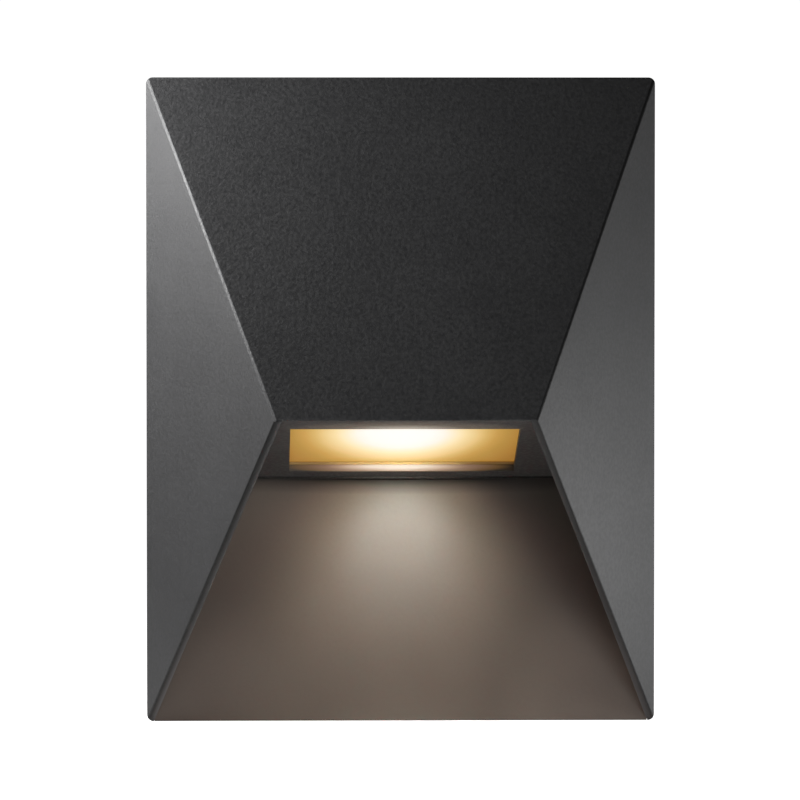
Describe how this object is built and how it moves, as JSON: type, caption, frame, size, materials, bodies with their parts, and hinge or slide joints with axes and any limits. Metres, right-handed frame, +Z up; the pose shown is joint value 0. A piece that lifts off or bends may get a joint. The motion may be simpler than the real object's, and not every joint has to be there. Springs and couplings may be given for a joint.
{
  "type": "outdoor wall light",
  "caption": "Wall light with a roof-shaped metal housing, open below, that shines down the wall through a sloping satin glass window.",
  "frame": {"origin": "middle of the face that lies on the wall", "axes": "+Y into the wall, +Z up, +X to the right seen from the front; the light stands in front of the wall at y < 0"},
  "size_m": [0.15, 0.07, 0.19],
  "materials": {
    "housing_paint": "fine textured anthracite powder coat",
    "plate_paint": "smooth anthracite powder coat",
    "satin_glass": "satin, acid etched on the inside",
    "frosted_envelope": "frosted, lit warm white",
    "chip_phosphor": "phosphor resin",
    "board_white": "white solder mask",
    "lamp_plastic": "moulded white",
    "steatite": "unglazed off-white",
    "polyamide": "natural polyamide",
    "silicone_black": "matt moulded",
    "silicone_clear": "milky translucent",
    "foam": "closed-cell foam",
    "sheet_aluminium": "mill finish",
    "bright_aluminium": "bright anodised sheet",
    "zinc_steel": "bright zinc plated",
    "black_steel": "black oxide",
    "brass": "plain",
    "sleeve_live": "brown insulation",
    "sleeve_neutral": "blue insulation",
    "sleeve_earth": "green and yellow insulation"
  },
  "bodies": {
    "base": {"back_plate": "plate_paint", "wall_gasket": "foam", "shell_seal": "silicone_black", "cable_grommet": "silicone_black", "terminal_block": "polyamide", "terminal_clamps": "brass", "terminal_screws": "zinc_steel", "terminal_block_screws": "zinc_steel", "earth_screw": "zinc_steel", "earth_washer": "zinc_steel", "earth_lug": "brass", "earth_wire": "sleeve_earth", "lampholder_bracket": "zinc_steel", "bracket_screws": "zinc_steel", "lampholder": "steatite", "holder_contacts": "brass", "holder_screws": "zinc_steel", "live_wire": "sleeve_live", "neutral_wire": "sleeve_neutral"},
    "lamp": {"lamp_base": "lamp_plastic", "lamp_envelope": "frosted_envelope", "lamp_pins": "zinc_steel", "led_board": "board_white", "led_chips": "chip_phosphor"},
    "housing": {"housing_shell": "housing_paint", "window_glass": "satin_glass", "glass_seal": "silicone_clear", "glass_retainer": "sheet_aluminium", "reflector": "bright_aluminium", "retainer_screws": "zinc_steel"},
    "left_screw": {"left_lock_screw": "black_steel"},
    "right_screw": {"right_lock_screw": "black_steel"}
  },
  "joints": [
    {"name": "housing_slide", "type": "slide", "parent": "base", "child": "housing", "axis": [0, -1, 0], "range_m": [0, 0.075]},
    {"name": "lamp_pull", "type": "slide", "parent": "base", "child": "lamp", "axis": [0, -0.5331, -0.8461], "range_m": [0, 0.01]},
    {"name": "left_screw_out", "type": "slide", "parent": "housing", "child": "left_screw", "axis": [-1, 0, 0], "range_m": [0, 0.004]},
    {"name": "right_screw_out", "type": "slide", "parent": "housing", "child": "right_screw", "axis": [1, 0, 0], "range_m": [0, 0.004]}
  ]
}
